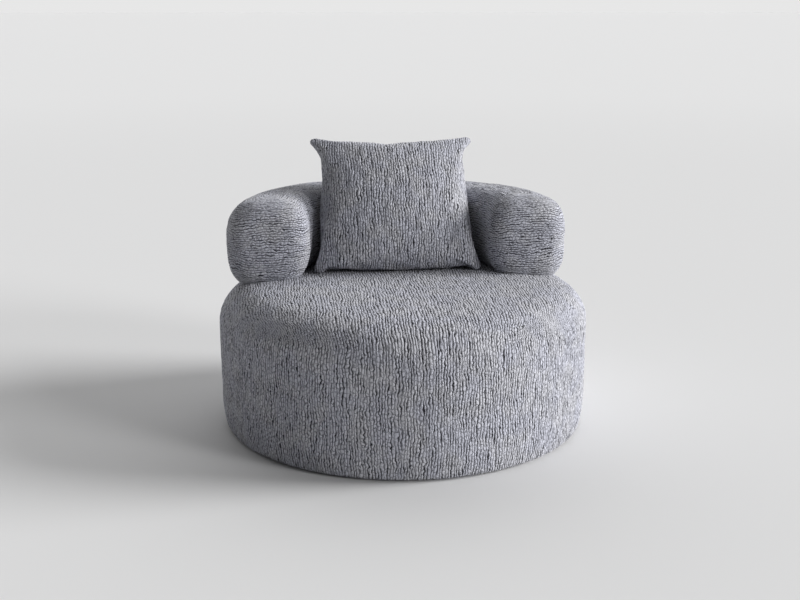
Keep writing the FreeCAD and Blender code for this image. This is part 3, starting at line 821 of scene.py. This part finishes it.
def boardFinish(name, light, dark, fleck):
    material, wire, place = startFinish(name)
    spots = wire.noise(place, fleck, 3.0, 0.65)
    tone = spots.between(0.35, 0.65).blendColours(dark, light)
    bump = wire.make("Bump", {}, {"Strength": 0.4, "Distance": 0.0008, "Height": spots})
    endFinish(wire, {"Base Color": tone, "Roughness": 0.9, "Specular IOR Level": 0.2, "Normal": bump})
    return material


def strapFinish(name, light, dark, pitch):
    # crossing yarns, and a darker line every few of them
    material, wire, place = startFinish(name)
    x, y = (wire.make("SeparateXYZ", {}, {0: place}, axis) for axis in (0, 1))
    yarns = wire.maths("PINGPONG", x / pitch, 0.5) * wire.maths("PINGPONG", y / pitch, 0.5) * 4.0
    lines = wire.maths("PINGPONG", (x + y) / (pitch * 9), 0.5).between(0.05, 0.12)
    tone = (yarns * lines).between(0.1, 0.9).blendColours(dark, light)
    bump = wire.make("Bump", {}, {"Strength": 0.6, "Distance": 0.0006, "Height": yarns})
    endFinish(wire, {"Base Color": tone, "Roughness": 0.8, "Normal": bump})
    return material


def metalFinish(name, light, dark):
    material, wire, place = startFinish(name)
    wear = wire.noise(place, 90.0, 4.0, 0.6).between(0.35, 0.7)
    tone = wear.blendColours(light, dark)
    endFinish(wire, {"Base Color": tone, "Metallic": 1.0, "Roughness": 0.28 + 0.25 * wear})
    return material


def mouldedFinish(name, light, dark):
    material, wire, place = startFinish(name)
    speck = wire.noise(place, 420.0, 2.0, 0.6)
    bump = wire.make("Bump", {}, {"Strength": 0.25, "Distance": 0.0004, "Height": speck})
    tone = speck.between(0.3, 0.7).blendColours(dark, light)
    endFinish(wire, {"Base Color": tone, "Roughness": 0.45 + 0.15 * speck, "Normal": bump})
    return material


frameFinishes = {
    woodFinish("plywood", rgb(0.62, 0.45, 0.27), rgb(0.40, 0.26, 0.14), 0.0028): (
        "base_ring", "top_ring", "roll_base_plate", "roll_ribs", "roll_top_plate"),
    woodFinish("softwood", rgb(0.70, 0.52, 0.30), rgb(0.50, 0.33, 0.17), 0): (
        "cross_rail_long", "cross_rails_short", "frame_posts"),
    boardFinish("fibreboard", rgb(0.36, 0.25, 0.15), rgb(0.22, 0.15, 0.09), 260.0): ("wall_liner",),
    boardFinish("felt", rgb(0.42, 0.41, 0.40), rgb(0.20, 0.20, 0.21), 380.0): ("felt_pad",),
    boardFinish("dustCloth", rgb(0.030, 0.030, 0.032), rgb(0.012, 0.012, 0.013), 520.0): ("dust_cover",),
    strapFinish("webbing", rgb(0.10, 0.10, 0.11), rgb(0.025, 0.025, 0.028), 0.003): (
        "webbing_across", "webbing_along"),
    metalFinish("steel", rgb(0.62, 0.62, 0.64), rgb(0.40, 0.40, 0.42)): (
        "frame_screws", "glide_screws", "roll_studs", "spacer_tubes",
        "tee_nuts", "stud_washers", "stud_nuts"),
    mouldedFinish("glidePlastic", rgb(0.020, 0.020, 0.022), rgb(0.010, 0.010, 0.011)): ("glides",),
}
for finish, names in frameFinishes.items():
    for name in names:
        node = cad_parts[name]
        node.data.materials.clear()
        node.data.materials.append(finish)
print("finishes on", sum(len(names) for names in frameFinishes.values()), "frame nodes")


# Floor, light and camera.

studio = {
    "floorNear": rgb(0.715, 0.715, 0.717),
    "floorFar": rgb(0.750, 0.750, 0.752),
    "floorTurns": (5.0, 14.0),          # metres out where the floor's colour goes from one to the other: painted light, lighter far out
    "dome": {"behind": 1.78, "ahead": 0.20},    # soft light from all round, by where it comes from
    "backdrop": 0.80,
    "lamps": {
        "key": {"turn": 95, "rise": 19, "strength": 4.3, "spread": 26},
        "fill": {"turn": 60, "rise": 18, "strength": 1.20, "spread": 16},
    },
    "view": {"turn": -6.2, "distance": 3.24, "height": 1.195, "pitch": 14.55, "lens": 50.6, "aside": 0.155},
}


def buildFloor():
    half = 300.0
    corners = [(-half, -half, 0), (half, -half, 0), (half, half, 0), (-half, half, 0)]
    piece = newPiece("floor", np.array(corners), [(0, 1, 2, 3)])
    material, wire, place = startFinish("floorWithPaintedLight")
    # Painted light: the floor is painted lighter far out, where the light on it is brighter.
    out = wire.make("VectorMath", {"operation": "LENGTH"}, {0: place}, 1)
    paintedLight = out.between(*studio["floorTurns"]).blendColours(studio["floorNear"], studio["floorFar"])
    endFinish(wire, {"Base Color": paintedLight, "Roughness": 0.9, "Specular IOR Level": 0.1})
    piece.data.materials.append(material)


def buildLamp(name, lamp):
    data = bpy.data.lights.new(name, "SUN")
    data.energy = lamp["strength"]
    data.angle = math.radians(lamp["spread"])
    lampObject = bpy.data.objects.new(name, data)
    turn = math.radians(studio["view"]["turn"] + lamp["turn"])
    rise = math.radians(lamp["rise"])
    away = Vector((math.sin(turn) * math.cos(rise), -math.cos(turn) * math.cos(rise), math.sin(rise)))
    lampObject.rotation_euler = away.to_track_quat("Z", "Y").to_euler()
    lampObject.location = away * 6
    bpy.context.collection.objects.link(lampObject)


def buildWorld():
    world = bpy.data.worlds.new("studio")
    bpy.context.scene.world = world
    world.use_nodes = True
    world.node_tree.nodes.clear()
    wire = Wire(world.node_tree)
    dome = studio["dome"]
    turn = math.radians(studio["view"]["turn"])
    behind = (-math.sin(turn), math.cos(turn), 0.0)
    direction = wire.make("TexCoord", output=0)
    facing = wire.make("VectorMath", {"operation": "DOT_PRODUCT"}, {0: direction, 1: behind}, 1)
    light = wire.maths("MAXIMUM", facing * dome["behind"], facing * -dome["ahead"])
    camera, glossy, through = (wire.make("LightPath", output=kind) for kind in (0, 3, 6))
    seen = wire.maths("MAXIMUM", camera, wire.maths("MAXIMUM", glossy, through))
    strength = light + seen * (studio["backdrop"] - light)
    sky = wire.make("Background", {}, {"Color": rgb(1, 1, 1), "Strength": strength})
    wire.make("OutputWorld", {}, {"Surface": sky})


def buildCamera():
    view = studio["view"]
    data = bpy.data.cameras.new("camera")
    data.sensor_fit = "HORIZONTAL"
    data.sensor_width = 36
    data.lens = view["lens"]
    camera = bpy.data.objects.new("camera", data)
    turn = math.radians(view["turn"])
    distance = view["distance"]
    camera.location = (math.sin(turn) * distance, -math.cos(turn) * distance, view["height"])
    camera.rotation_euler = Euler((math.radians(90 - view["pitch"]), 0, turn + math.radians(view["aside"])))
    bpy.context.collection.objects.link(camera)
    bpy.context.scene.camera = camera


buildFloor()
for name, lamp in studio["lamps"].items():
    buildLamp(name, lamp)
buildWorld()
buildCamera()
bpy.context.scene.view_settings.view_transform = "Standard"
print("floor, lamps and camera set")
